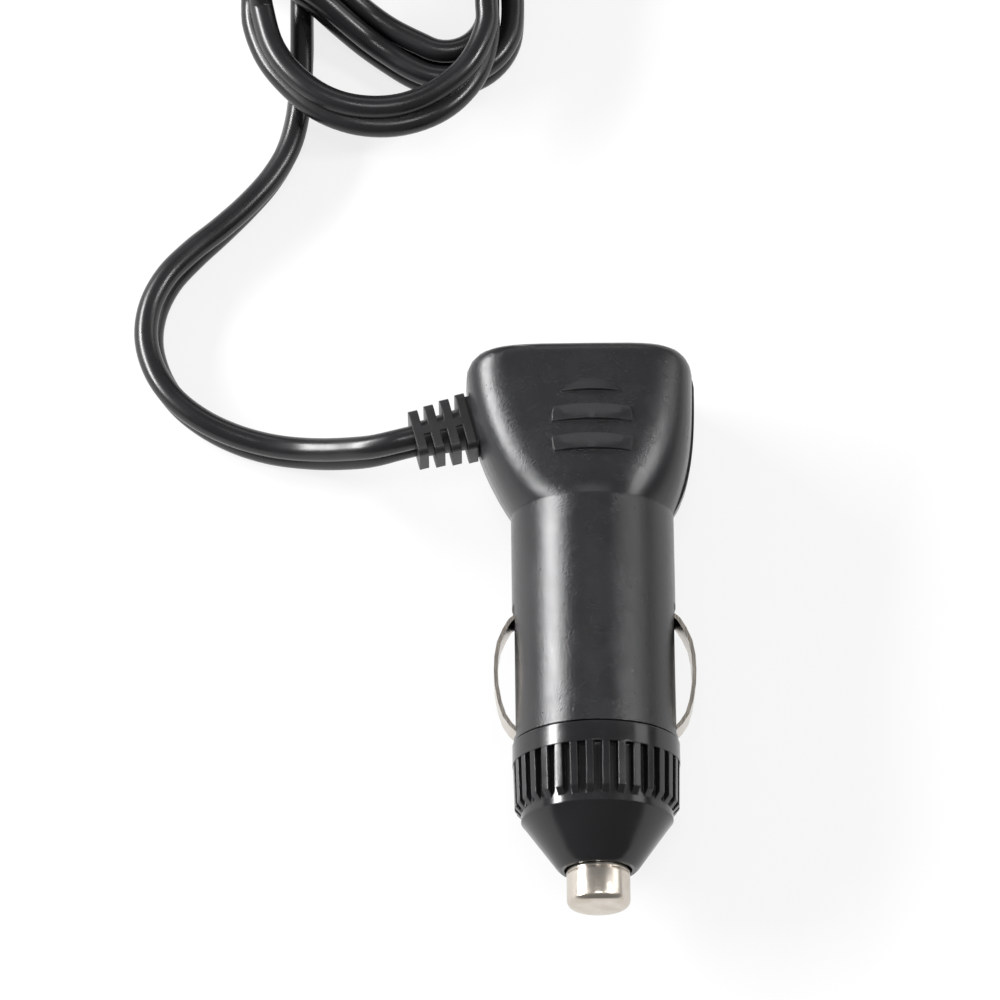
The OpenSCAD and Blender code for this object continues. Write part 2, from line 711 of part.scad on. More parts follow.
housing_posts = [
    [0, housing_len - 23.8], [0, housing_len - 3.8],
    [-socket_pitch / 2 - 3.5, 6.2], [socket_pitch / 2 + 3.5, 6.2]
];
housing_profile = concat(
    [[0, 0]],
    [for (a = [0:15:90]) housing_edge * [sin(a), 1 - cos(a)] + [housing_r - housing_edge, 0]],
    [for (a = [0:15:90]) mouth_edge * [cos(a), sin(a)] + [housing_r - mouth_edge, housing_len - mouth_edge]],
    [[0, housing_len]]
);
module housing_outer() {
    both_sockets() rotate([-90, 0, 0]) rotate_extrude() polygon(housing_profile);
    translate([-socket_pitch / 2, 0, 0]) rotate([90, 0, 90]) linear_extrude(height = socket_pitch)
        for (side = [-1, 1]) polygon([for (p = housing_profile) [p[1], side * p[0]]]);
}
module housing_hollow() {
    both_sockets() socket_disc(housing_bore, chamber_len, housing_len + 1);
    translate([-socket_pitch / 2 - 6, housing_front, -housing_r + 4.5])
        cube([socket_pitch + 12, chamber_len - housing_front + tiny, 2 * housing_r - 9]);
    translate([-bus_half, chamber_len - 1, -5.6]) cube([2 * bus_half, 14, 11.2]);
    translate([0, 0, 0]) rotate([0, 0, -90]) cube([40, relief_neck + 0.1, relief_neck + 0.1], center = true);
}

module housing_half(side) {
    difference() {
        union() {
            difference() {
                housing_outer();
                housing_hollow();
            }
            for (p = housing_posts) if (p[1] < chamber_len) translate([p[0], p[1], -housing_r + 2])
                cylinder(r = post_r, h = 2 * housing_r - 4);
        }
        translate([0, housing_len / 2, -side * 20]) cube([120, housing_len + 20, 40], center = true);
        for (p = housing_posts) translate([p[0], p[1], 0]) {
            if (side > 0) translate([0, 0, -1]) cylinder(r = pilot_r, h = 6.6);
            else {
                translate([0, 0, -housing_r - 1]) cylinder(r = screw_d / 2 + screw_clear, h = housing_r + 2);
                translate([0, 0, -housing_r - 1])
                    cylinder(r = screw_head_d / 2 + screw_clear, h = housing_r + 1 + screw_seat);
            }
        }
    }
}

module housing_base() {
    color(plastic) at_housing() housing_half(-1);
}
module housing_cover() {
    color(plastic) at_housing() housing_half(1);
}

module housing_screws() {
    color(nickel) at_housing() for (p = housing_posts) translate([p[0], p[1], 0]) {
        difference() {
            translate([0, 0, screw_seat - screw_head_h - 0.02]) cylinder(d = screw_head_d, h = screw_head_h);
            for (turn = [0, 90]) rotate([0, 0, turn])
                translate([-1.2, -0.25, screw_seat - screw_head_h - 1]) cube([2.4, 0.5, 1.7]);
        }
        translate([0, 0, screw_seat - 0.05]) cylinder(d = screw_d, h = 5 - screw_seat);
    }
}

module housing_relief() {
    at_housing() rotate([0, 0, -90]) relief_body();
}

floor_top = chamber_len + floor_disc;
sleeve_start = floor_top + floor_rim;
module sleeve() {
    color(nickel) difference() {
        union() {
            socket_disc(sleeve_r, sleeve_start, housing_len + 0.8);
            socket_disc(sleeve_r + 1.4, housing_len, housing_len + 0.8);
        }
        socket_disc(socket_r, sleeve_start - 1, housing_len + 2);
    }
}
module socket_floor() {
    color(fibre) difference() {
        socket_disc(sleeve_r, chamber_len + 0.02, sleeve_start - 0.02);
        socket_disc(6.5, floor_top, sleeve_start + 1);
        socket_disc(1.6, chamber_len - 1, floor_top + 1);
    }
}
module centre_contact() {
    color(brass) {
        socket_disc(1.55, chamber_len - 0.9, floor_top + 0.5);
        translate([0, floor_top + 0.02, 0]) rotate([-90, 0, 0]) cylinder(r1 = 4, r2 = 3.2, h = 1.2);
    }
}

module socket_sleeve_left() {
    at_housing() translate([-socket_pitch / 2, 0, 0]) sleeve();
}
module socket_sleeve_right() {
    at_housing() translate([socket_pitch / 2, 0, 0]) sleeve();
}
module socket_floor_left() {
    at_housing() translate([-socket_pitch / 2, 0, 0]) socket_floor();
}
module socket_floor_right() {
    at_housing() translate([socket_pitch / 2, 0, 0]) socket_floor();
}
module centre_contact_left() {
    at_housing() translate([-socket_pitch / 2, 0, 0]) centre_contact();
}
module centre_contact_right() {
    at_housing() translate([socket_pitch / 2, 0, 0]) centre_contact();
}

bus_t = 0.5;
bus_w = 6;
bus_half = socket_pitch / 2 - sleeve_r - 0.05;
module positive_bus() {
    color(brass) at_housing() difference() {
        translate([-(socket_pitch + bus_w) / 2, chamber_len - 0.05 - bus_t, -bus_w / 2])
            cube([socket_pitch + bus_w, bus_t, bus_w]);
        both_sockets() socket_disc(1.6, chamber_len - 2, chamber_len + 1);
    }
}
// A strip that bridges the gap between the two sleeves
module negative_bus() {
    color(brass) at_housing() translate([-bus_half, sleeve_start + 0.4, -bus_t / 2]) cube([2 * bus_half, bus_w, bus_t]);
}
module housing_positive_wire() {
    color(wire_red) at_housing() wire([
        [1.6, relief_depth + 0.1, 0.4], [1.6, relief_depth + 1, 0.4], [2.1, chamber_len - 6, 0.6],
        [3.3, chamber_len - 3.6, 0.8], [bus_half - 0.1, chamber_len - 2, 0.8],
        [bus_half - 0.1, chamber_len - bus_t - 0.1, 0.8]
    ], 1.4);
}
module housing_negative_wire() {
    color(wire_black) at_housing() wire([
        [-1.6, relief_depth + 0.1, -0.4], [-1.6, relief_depth + 1, -0.4], [-1.8, chamber_len - 6.8, -2.2],
        [-1.6, chamber_len - 4.8, -4.2], [-1, chamber_len - 2.6, -4.6], [-1, chamber_len - 0.6, -4.6],
        [-0.4, sleeve_start - 1.8, -2.8], [0, sleeve_start + 0.9, -1], [0, sleeve_start + 3, -1]
    ], 1.4);
}

front_shell();
rear_shell();
nose_cap();
contact_tip();
fuse_glass();
fuse_end_caps();
fuse_wire();
contact_spring();
spring_seat();
side_spring_left();
side_spring_right();
ground_ring();
positive_wire();
negative_wire();
strain_relief();
shell_screws();
lead_run();
lead_coil();
lead_loop();
lead_tail();
lead_tie();
housing_relief();
housing_base();
housing_cover();
housing_screws();
socket_sleeve_left();
socket_sleeve_right();
socket_floor_left();
socket_floor_right();
centre_contact_left();
centre_contact_right();
positive_bus();
negative_bus();
housing_positive_wire();
housing_negative_wire();
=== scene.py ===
# The car power splitter on a white table: its plug, its twin lead and its socket housing.
import bpy
import math
from mathutils import Matrix, Vector


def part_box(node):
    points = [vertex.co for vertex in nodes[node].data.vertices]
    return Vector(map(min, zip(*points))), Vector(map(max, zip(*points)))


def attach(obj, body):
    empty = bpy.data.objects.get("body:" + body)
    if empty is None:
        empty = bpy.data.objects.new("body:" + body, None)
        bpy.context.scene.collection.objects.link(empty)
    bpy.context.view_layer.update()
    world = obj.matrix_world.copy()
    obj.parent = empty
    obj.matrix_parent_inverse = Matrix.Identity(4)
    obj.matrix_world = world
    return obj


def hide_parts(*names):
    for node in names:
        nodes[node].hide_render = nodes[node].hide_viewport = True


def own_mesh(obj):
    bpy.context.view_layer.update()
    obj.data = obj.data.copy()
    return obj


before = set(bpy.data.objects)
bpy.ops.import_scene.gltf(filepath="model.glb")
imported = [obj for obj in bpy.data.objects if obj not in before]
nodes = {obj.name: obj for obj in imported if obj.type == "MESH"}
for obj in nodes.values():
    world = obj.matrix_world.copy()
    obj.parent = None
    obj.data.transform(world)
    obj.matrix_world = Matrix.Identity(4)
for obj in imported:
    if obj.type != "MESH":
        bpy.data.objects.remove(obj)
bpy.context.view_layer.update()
MM = 0.001
FLOOR = -10.6

# Camera: it looks down at 69.5 degrees from in front of the plug's tip, turned a little clockwise
LOOK_DOWN = math.radians(69.5)
TURN = math.radians(0.62)
AIM = Vector((-11.78, 2.83, 0)) * MM
CAMERA_AWAY = 0.8
right = Vector((math.cos(TURN), -math.sin(TURN), 0))
back = Vector((
    -math.sin(TURN) * math.cos(LOOK_DOWN), -math.cos(TURN) * math.cos(LOOK_DOWN), math.sin(LOOK_DOWN)))
up = back.cross(right)
facing = Matrix((right, up, back)).transposed().to_4x4()
camera_data = bpy.data.cameras.new("camera")
camera_data.lens = 224.64
camera_data.sensor_width = 36
camera_data.clip_start = 0.05
camera_data.clip_end = 20
camera = bpy.data.objects.new("camera", camera_data)
camera.matrix_world = Matrix.Translation(AIM + back * CAMERA_AWAY) @ facing
bpy.context.scene.collection.objects.link(camera)
bpy.context.scene.camera = camera
bpy.context.scene.view_settings.view_transform = "Standard"


def add_piece(name, points, faces, body=None, smooth=True):
    """A mesh piece in the row frame, riding on a body if one is given."""
    mesh = bpy.data.meshes.new(name)
    mesh.from_pydata([tuple(p) for p in points], [], faces)
    mesh.update()
    for polygon in mesh.polygons:
        polygon.use_smooth = smooth
    piece = bpy.data.objects.new(name, mesh)
    bpy.context.scene.collection.objects.link(piece)
    if body:
        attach(piece, body)
    return piece


# The lead. Points are in millimetres: [x, y, z, lean]. The twin section stands on edge, and lean is
# how far its upper core tips to the right of the way that the lead runs, in degrees.
CORE_R = 1.55
CORE_APART = 2.7
CORE_STEPS = 12
LEAD_W = CORE_APART + 2 * CORE_R
LEAD_STEP = 0.9

# Heights of its middle: on the table, in the coil, just past the run, on top of the coil, and over the run
FLOOR_LINE = FLOOR + LEAD_W / 2 + 0.05
COIL_LINE = -7.1
PAST_RUN = -6.9
OVER_COIL = -1.25
OVER_RUN = -1.75

# From inside the strain relief down to the table and round to the coil; heights are above FLOOR_LINE
run_points = [
    (-20.0, 11.73, 7.65, 0), (-22.8, 11.03, 7.65, 0), (-24.8, 10.53, 7.65, 0), (-28, 10.2, 6.5, 0),
    (-32, 10.8, 3.95, 0), (-36.8, 11.9, 1.3, 0), (-41.6, 13.05, 0.1, 0), (-46.2, 14.6, 0, -3),
    (-50.3, 16.85, 0, -7), (-53.8, 19.9, 0, -10), (-56.2, 23.7, 0, -13), (-57.4, 28.3, 0, -13),
    (-56.9, 32.8, 0, -12), (-54.9, 37, 0, -8), (-51.7, 40.6, 0, -2), (-48.2, 43.8, 0, 6),
    (-44.6, 47.4, 0, 11), (-41.5, 51.2, 0, 12), (-39.2, 55.5, 0, 12), (-38, 60.2, 0, 8),
    (-37.55, 65, 0, 4), (-37.4, 70, 0, 0), (-37.4, 73.3, 0, 0), (-37.4, 78, 0, 0), (-37.4, 84, 0, 0),
    (-37.4, 90, 0.1, 0), (-37.4, 93.5, 0.3, 0),
]
# From the outer turn at the far right, over the coil to the inside of its near right corner
climb_points = [
    (-6.6, 95, OVER_COIL, 0), (-8, 90.6, OVER_COIL, 0), (-10.1, 86.2, OVER_COIL, 0),
    (-11.9, 81.6, OVER_COIL, 0), (-12.65, 77.4, OVER_COIL, 0),
]
# The loop on top of the coil, from the right round the near side to the left
loop_points = [
    (-12.74, 73.4, OVER_COIL, 3), (-12.74, 69.62, OVER_COIL, 5), (-14.84, 63.89, OVER_COIL, 25),
    (-19.0, 59.68, OVER_COIL, 48), (-24.13, 57.54, OVER_COIL, 44), (-29.68, 57.49, OVER_COIL, 35),
    (-34.49, 59.24, OVER_COIL, 25), (-38.52, 62.59, OVER_COIL, 19), (-41.48, 66.78, OVER_COIL, 24),
]
# From the loop's left end over the coil into the housing's strain relief
tail_points = [
    (-43, 71.65, -1.2, 31), (-43.15, 73.4, -1, 27), (-43.1, 75.6, 1, 18), (-42.3, 78.2, 3.4, 8),
    (-40.4, 81.2, 4.4, 2), (-37.4, 84.3, 4, 0), (-33.8, 87.3, 2.9, 0), (-30, 90.6, 2, 0),
    (-26.4, 94.4, 1.4, 0), (-23.2, 98.8, 1.2, 0), (-20.6, 103.6, 1.6, 0), (-18.7, 108.4, 2.7, 0),
    (-18, 113, 3.575, 0), (-18, 116.26, 3.575, 0), (-18, 119, 3.575, 0),
]

# The middles of the coil's corners, and the ways that its sides face, in degrees
FIRST_CORNER = (-31.4, 95.35)
FAR_LEFT = (-41.8, 93.8)
FAR_RIGHT = (-18, 98.4)
NEAR_RIGHT = (-18.1, 73.6)
LEFT_SIDE = 165
FAR_SIDE = 100.94
RIGHT_SIDE = 0
NEAR_SIDE = 235.5
CLIMB_END = 6
FIRST_RADIUS = 6
INNER_RADIUS = 5.55
STRAND_APART = 3.2
ARC_STEP = 18

# The full turns, from the inside: two points of the right side, the middle of the near right corner,
# and how much later the turn crosses the run, as a share of the near side
full_turns = [
    (((-12.55, 90), (-12.65, 81)), (-18.2, 74.2), 0.07),
    (((-9.3, 90), (-9.35, 81)), NEAR_RIGHT, 0),
]
# How a turn crosses the run on the near side: [share of the way, height]
crossing = [
    (0.1, COIL_LINE), (0.22, -6.5), (0.34, -4.9), (0.45, -3), (0.57, OVER_RUN), (0.68, -2.6),
    (0.8, -4.7), (0.93, -6.6),
]


def arc(centre, radius, start, end, low, high=None):
    """Points of a clockwise arc, which may climb from one height to another."""
    swing = start - end
    climb = 0 if high is None else high - low
    steps = max(3, round(swing / ARC_STEP))
    points = []
    for k in range(steps + 1):
        share = k / steps
        angle = math.radians(start - swing * k / steps)
        height = low + climb * share * share * (3 - 2 * share)
        points.append((centre[0] + radius * math.cos(angle), centre[1] + radius * math.sin(angle), height, 0))
    return points


def over_the_run(radius, delay):
    """A turn's near side, lifted where it crosses the run, on its way outwards to the next turn."""
    normal = Vector((math.cos(math.radians(NEAR_SIDE)), math.sin(math.radians(NEAR_SIDE))))
    start = Vector(NEAR_RIGHT) + normal * radius
    end = Vector(FAR_LEFT) + normal * (radius + STRAND_APART)
    return [(*start.lerp(end, share + delay), height, 0) for share, height in crossing]


def coil_points():
    """The coil on the table: full turns, each outside the one before, and the corner where it climbs."""
    radius = INNER_RADIUS
    points = arc(FIRST_CORNER, FIRST_RADIUS, LEFT_SIDE, FAR_SIDE, COIL_LINE)
    for right_side, near_right, delay in full_turns:
        points += arc(FAR_RIGHT, radius, FAR_SIDE, RIGHT_SIDE, COIL_LINE)
        points += [(x, y, COIL_LINE, 0) for x, y in right_side]
        points += arc(near_right, radius, RIGHT_SIDE, NEAR_SIDE - 360, COIL_LINE)
        points += over_the_run(radius, delay)
        radius += STRAND_APART
        points += arc(FAR_LEFT, radius, NEAR_SIDE, FAR_SIDE, PAST_RUN, COIL_LINE)
    return points + arc(FAR_RIGHT, radius, FAR_SIDE, CLIMB_END, COIL_LINE, OVER_COIL)


def even_line(points, step, nearest=0.6, fine_step=0.2):
    """A smooth line through the points, with its own points an even distance apart.

    A point that lies within nearest of the one before is left out. The distances are measured
    along a finer line.
    """
    spread = [Vector(points[0])]
    for p in points[1:]:
        if (Vector(p) - spread[-1]).xyz.length > nearest:
            spread.append(Vector(p))
    ends = [spread[0] * 2 - spread[1]] + spread + [spread[-1] * 2 - spread[-2]]
    fine = [spread[0]]
    for a, b, c, d in zip(ends, ends[1:], ends[2:], ends[3:]):
        # a centripetal spline, which keeps its shape where the points are uneven
        k1 = (b - a).xyz.length ** 0.5
        k2 = k1 + (c - b).xyz.length ** 0.5
        k3 = k2 + (d - c).xyz.length ** 0.5
        count = max(2, int((c - b).xyz.length / fine_step))
        for i in range(1, count + 1):
            t = k1 + (k2 - k1) * i / count
            ab = a.lerp(b, t / k1)
            bc = b.lerp(c, (t - k1) / (k2 - k1))
            cd = c.lerp(d, (t - k2) / (k3 - k2))
            fine.append(ab.lerp(bc, t / k2).lerp(bc.lerp(cd, (t - k1) / (k3 - k1)), (t - k1) / (k2 - k1)))
    lengths = [0]
    for a, b in zip(fine, fine[1:]):
        lengths.append(lengths[-1] + (b - a).xyz.length)
    count = round(lengths[-1] / step)
    line = []
    k = 0
    for i in range(count + 1):
        want = lengths[-1] * i / count
        while k < len(fine) - 2 and lengths[k + 1] < want:
            k += 1
        span = max(lengths[k + 1] - lengths[k], 1e-9)
        line.append(fine[k].lerp(fine[k + 1], min(1, max(0, (want - lengths[k]) / span))))
    return line


def twin_outline():
    """Points round the twin section: two cores, one above the other, that meet at a waist."""
    waist = math.degrees(math.acos(CORE_APART / 2 / CORE_R)) - 90
    points = []
    for k in range(CORE_STEPS + 1):
        angle = math.radians(waist + (180 - 2 * waist) * k / CORE_STEPS)
        points.append((CORE_R * math.cos(angle), CORE_APART / 2 + CORE_R * math.sin(angle)))
    return points + [(-x, -y) for x, y in points[1:-1]]


def skin(name, points, count, body):
    """A piece over rings of so many points each, closed at both ends by flat faces with sharp rims."""
    rings = len(points) // count
    faces = []
    for i in range(rings - 1):
        for k in range(count):
            a = i * count + k
            b = i * count + (k + 1) % count
            faces.append((a, b, b + count, a + count))
    faces.append(tuple(range(count))[::-1])
    faces.append(tuple((rings - 1) * count + k for k in range(count)))
    piece = add_piece(name, points, faces, body)
    piece.data.set_sharp_from_angle(angle=math.radians(50))
    return piece


def tube(name, line, outline, body):
    """A skin that carries an outline along a line."""
    points = []
    for i, place in enumerate(line):
        ahead = (line[min(i + 1, len(line) - 1)] - line[max(i - 1, 0)]).xyz.normalized()
        side = ahead.cross(Vector((0, 0, 1))).normalized()
        top = side.cross(ahead)
        lean = math.radians(place.w)
        across = side * math.cos(lean) - top * math.sin(lean)
        upward = top * math.cos(lean) + side * math.sin(lean)
        points += [(place.xyz + across * x + upward * y) * MM for x, y in outline]
    return skin(name, points, len(outline), body)


lead_points = [(x, y, z + FLOOR_LINE, lean) for x, y, z, lean in run_points]
lead_points += coil_points() + climb_points + loop_points + tail_points
lead_line = even_line(lead_points, LEAD_STEP)
twin_lead = tube("twin_lead", lead_line, twin_outline(), "plug")
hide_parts("lead_run", "lead_coil", "lead_loop", "lead_tail")

# The contact spring is a round wire that shortens towards its brass seat as the tip goes in
SPRING_TURNS = 6
SPRING_STEPS = 24
WIRE_R = 0.3 * MM
WIRE_SIDES = 12


def coil_wire(name, node, body):
    """A coil of wire in the place of a node, round the plug's axis."""
    low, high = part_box(node)
    radius = (high.x - low.x) / 2 - WIRE_R
    start = high.y - WIRE_R
    pitch = (high.y - low.y - 2 * WIRE_R) / SPRING_TURNS
    slope = -pitch / (2 * math.pi)
    points = []
    for i in range(SPRING_TURNS * SPRING_STEPS + 1):
        turn = 2 * math.pi * i / SPRING_STEPS
        out = Vector((math.cos(turn), 0, math.sin(turn)))
        centre = out * radius + Vector((0, start - pitch * i / SPRING_STEPS, 0))
        ahead = Vector((-radius * math.sin(turn), slope, radius * math.cos(turn))).normalized()
        across = out.cross(ahead)
        for k in range(WIRE_SIDES):
            bend = 2 * math.pi * k / WIRE_SIDES
            points.append(centre + out * WIRE_R * math.cos(bend) + across * WIRE_R * math.sin(bend))
    return skin(name, points, WIRE_SIDES, body)


spring_wire = coil_wire("spring_wire", "contact_spring", "plug")
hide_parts("contact_spring")
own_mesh(spring_wire)


# Small helpers for shading
def add(tree, kind, **settings):
    """A node with its settings."""
    node = tree.nodes.new(kind)
    for key, value in settings.items():
        setattr(node, key, value)
    return node


def feed(tree, value, socket):
    """Gives a socket its value, which is another socket, a number or a colour."""
    if isinstance(value, tuple):
        socket.default_value = (*value, 1)
    elif isinstance(value, (int, float)):
        socket.default_value = value
    else:
        tree.links.new(value, socket)


def maths(tree, operation, a, b=None, clamp=False):
    """The result of a maths node; a and b are sockets or numbers."""
    node = add(tree, "ShaderNodeMath", operation=operation, use_clamp=clamp)
    feed(tree, a, node.inputs[0])
    if b is not None:
        feed(tree, b, node.inputs[1])
    return node.outputs[0]


def mix_colour(tree, mask, low, high):
    """A colour that goes from low to high with a mask; low and high are sockets or colours."""
    node = add(tree, "ShaderNodeMix", data_type="RGBA")
    for place, value in ((0, mask), (6, low), (7, high)):
        feed(tree, value, node.inputs[place])
    return node.outputs[2]


def between(tree, mask, low, high):
    """A number that goes from low to high as a mask goes from 0.35 to 0.65."""
    node = add(tree, "ShaderNodeMapRange")
    settings = (("Value", mask), ("From Min", 0.35), ("From Max", 0.65), ("To Min", low), ("To Max", high))
    for label, value in settings:
        feed(tree, value, node.inputs[label])
    return node.outputs["Result"]


def object_place(tree):
    """The place on the object, which every texture follows."""
    return add(tree, "ShaderNodeTexCoord").outputs["Object"]


def noise(tree, place, scale, detail, roughness=0.5):
    """The value of a noise; scale is how many of its waves go to a metre, as a number or a socket."""
    node = add(tree, "ShaderNodeTexNoise")
    for label, value in (("Vector", place), ("Scale", scale), ("Detail", detail), ("Roughness", roughness)):
        feed(tree, value, node.inputs[label])
    return node.outputs["Fac"]


def soft_edges(tree, width_mm):
    """The normal, with the edges rounded off over a width."""
    edge = add(tree, "ShaderNodeBevel", samples=4)
    feed(tree, maths(tree, "MULTIPLY", width_mm, MM), edge.inputs["Radius"])
    return edge.outputs["Normal"]


def bump_over_edges(group, given, height):
    """A normal with soft edges and a height on it, from the group's own Edge mm and Depth mm."""
    bump = add(group, "ShaderNodeBump")
    feed(group, 1.0, bump.inputs["Strength"])
    feed(group, maths(group, "MULTIPLY", given.outputs["Depth mm"], MM), bump.inputs["Distance"])
    feed(group, height, bump.inputs["Height"])
    feed(group, soft_edges(group, given.outputs["Edge mm"]), bump.inputs["Normal"])
    return bump.outputs["Normal"]


# Shared shading groups. Each gives a mask or a normal.
def new_group(name, inputs, outputs):
    """A node group with its sockets: inputs are (name, default), outputs are (name, socket type)."""
    group = bpy.data.node_groups.new(name, "ShaderNodeTree")
    for label, value in inputs:
        socket = group.interface.new_socket(name=label, in_out="INPUT", socket_type="NodeSocketFloat")
        socket.default_value = value
    for label, kind in outputs:
        group.interface.new_socket(name=label, in_out="OUTPUT", socket_type=kind)
    return group, group.nodes.new("NodeGroupInput"), group.nodes.new("NodeGroupOutput")


def make_grain_group():
    """Moulded grain with soft edges, and a mask of larger, faint patches."""
    group, given, out = new_group(
        "moulded_grain", [("Size mm", 0.25), ("Depth mm", 0.01), ("Edge mm", 0.15)],
        [("Normal", "NodeSocketVector"), ("Patches", "NodeSocketFloat")])
    place = object_place(group)
    fineness = maths(group, "DIVIDE", 1 / MM, given.outputs["Size mm"])
    grain = noise(group, place, fineness, detail=2.5, roughness=0.55)
    patches = noise(group, place, 160.0, detail=3.0, roughness=0.6)
    feed(group, bump_over_edges(group, given, grain), out.inputs["Normal"])
    feed(group, patches, out.inputs["Patches"])
    return group


def make_wear_group():
    """Where edges are rubbed: up to 1 on a sharp edge, broken up by a noise."""
    gain = 6.0
    group, given, out = new_group(
        "edge_wear", [("Width mm", 0.3), ("Amount", 1.0)], [("Mask", "NodeSocketFloat")])
    turn = add(group, "ShaderNodeVectorMath", operation="DOT_PRODUCT")
    feed(group, soft_edges(group, given.outputs["Width mm"]), turn.inputs[0])
    feed(group, add(group, "ShaderNodeNewGeometry").outputs["Normal"], turn.inputs[1])
    bent = maths(group, "SUBTRACT", 1.0, turn.outputs["Value"])
    rubbed = maths(group, "MULTIPLY", bent, gain, clamp=True)
    broken = maths(group, "MULTIPLY", rubbed, noise(group, object_place(group), 900.0, detail=3.0))
    feed(group, maths(group, "MULTIPLY", broken, given.outputs["Amount"], clamp=True), out.inputs["Mask"])
    return group


def make_dust_group():
    """Fine specks that lie in clouds on upward faces, as a mask."""
    speck_size = 0.13
    cloud_edge = 0.52
    group, given, out = new_group("dust", [("Amount", 0.5)], [("Mask", "NodeSocketFloat")])
    place = object_place(group)
    cells = add(group, "ShaderNodeTexVoronoi")
    feed(group, place, cells.inputs["Vector"])
    feed(group, 1100.0, cells.inputs["Scale"])
    specks = maths(group, "LESS_THAN", cells.outputs["Distance"], speck_size)
    clouds = maths(group, "GREATER_THAN", noise(group, place, 90.0, detail=2.0), cloud_edge)
    faces = add(group, "ShaderNodeSeparateXYZ")
    feed(group, add(group, "ShaderNodeNewGeometry").outputs["Normal"], faces.inputs[0])
    upward = maths(group, "MAXIMUM", faces.outputs["Z"], 0.0)
    mask = maths(group, "MULTIPLY", maths(group, "MULTIPLY", specks, clouds), upward)
    feed(group, maths(group, "MULTIPLY", mask, given.outputs["Amount"], clamp=True), out.inputs["Mask"])
    return group


def make_turned_group():
    """Fine rings round an axis along Y, as a lathe leaves them, with soft edges."""
    group, given, out = new_group(
        "turned_rings",
        [("Centre X mm", 0.0), ("Centre Z mm", 0.0), ("Depth mm", 0.002), ("Edge mm", 0.15)],
        [("Normal", "NodeSocketVector")])
    place = add(group, "ShaderNodeSeparateXYZ")
    feed(group, object_place(group), place.inputs[0])
    squares = []
    for axis in "XZ":
        centre = maths(group, "MULTIPLY", given.outputs[f"Centre {axis} mm"], MM)
        off = maths(group, "SUBTRACT", place.outputs[axis], centre)
        squares.append(maths(group, "MULTIPLY", off, off))
    around = add(group, "ShaderNodeCombineXYZ")
    feed(group, maths(group, "SQRT", maths(group, "ADD", *squares)), around.inputs["X"])
    feed(group, place.outputs["Y"], around.inputs["Y"])
    rings = noise(group, around.outputs[0], 9000.0, detail=3.0)
    feed(group, bump_over_edges(group, given, rings), out.inputs["Normal"])
    return group


grain_group = make_grain_group()
wear_group = make_wear_group()
dust_group = make_dust_group()
turned_group = make_turned_group()

# Finishes
PATCH_SHADE = 0.15
WEAR_REACH = 1.6
DUST_COLOUR = (0.16, 0.155, 0.15)
METAL_EDGE = 0.12
SCRATCH_DEPTH = 0.0004 * MM


def use_group(tree, group, **values):
    """A group placed in a material; values set its inputs, with _ for a blank in the name."""
    node = tree.nodes.new("ShaderNodeGroup")
    node.node_tree = group
    for key, value in values.items():
        node.inputs[key.replace("_", " ")].default_value = value
    return node


def new_material(name, colour, roughness, metallic=0.0):
    """A material with its main shader, and its uniform numbers on the shader itself."""
    material = bpy.data.materials.new(name)
    material.use_nodes = True
    tree = material.node_tree
    shader = tree.nodes["Principled BSDF"]
    feed(tree, colour, shader.inputs["Base Color"])
    feed(tree, roughness, shader.inputs["Roughness"])
    feed(tree, metallic, shader.inputs["Metallic"])
    return material, tree, shader


def moulded(name, colour, rough, grain, depth, edge, worn=None, wear=0.5, dust=0.0):
    """A moulded plastic or rubber with grain and soft edges; it may have rubbed edges and a little dust."""
    material, tree, shader = new_material(name, colour, sum(rough) / 2)
    surface = use_group(tree, grain_group, Size_mm=grain, Depth_mm=depth, Edge_mm=edge)
    dark = tuple(c * (1 - PATCH_SHADE) for c in colour)
    light = tuple(c * (1 + PATCH_SHADE) for c in colour)
    base = mix_colour(tree, surface.outputs["Patches"], dark, light)
    if worn:
        rubbed = use_group(tree, wear_group, Width_mm=edge * WEAR_REACH, Amount=wear)
        base = mix_colour(tree, rubbed.outputs["Mask"], base, worn)
    if dust:
        specks = use_group(tree, dust_group, Amount=dust)
        base = mix_colour(tree, specks.outputs["Mask"], base, DUST_COLOUR)
    feed(tree, base, shader.inputs["Base Color"])
    feed(tree, between(tree, surface.outputs["Patches"], *rough), shader.inputs["Roughness"])
    feed(tree, surface.outputs["Normal"], shader.inputs["Normal"])
    return material


def metal(name, colour, stain, rough, depth, centre=(0, 0), turned=0.0):
    """A slightly stained metal with fine rings round an axis along Y; turned draws its highlights out."""
    material, tree, shader = new_material(name, colour, sum(rough) / 2, metallic=1.0)
    rings = use_group(
        tree, turned_group, Centre_X_mm=centre[0], Centre_Z_mm=centre[1], Depth_mm=depth, Edge_mm=METAL_EDGE)
    clouds = noise(tree, object_place(tree), 260.0, detail=4.0, roughness=0.6)
    stains = between(tree, clouds, 0.0, 1.0)
    feed(tree, mix_colour(tree, stains, colour, stain), shader.inputs["Base Color"])
    feed(tree, between(tree, clouds, *rough), shader.inputs["Roughness"])
    feed(tree, rings.outputs["Normal"], shader.inputs["Normal"])
    feed(tree, turned, shader.inputs["Anisotropic"])
    if turned:
        tangent = add(tree, "ShaderNodeTangent", direction_type="RADIAL", axis="Y")
        feed(tree, tangent.outputs["Tangent"], shader.inputs["Tangent"])
    return material


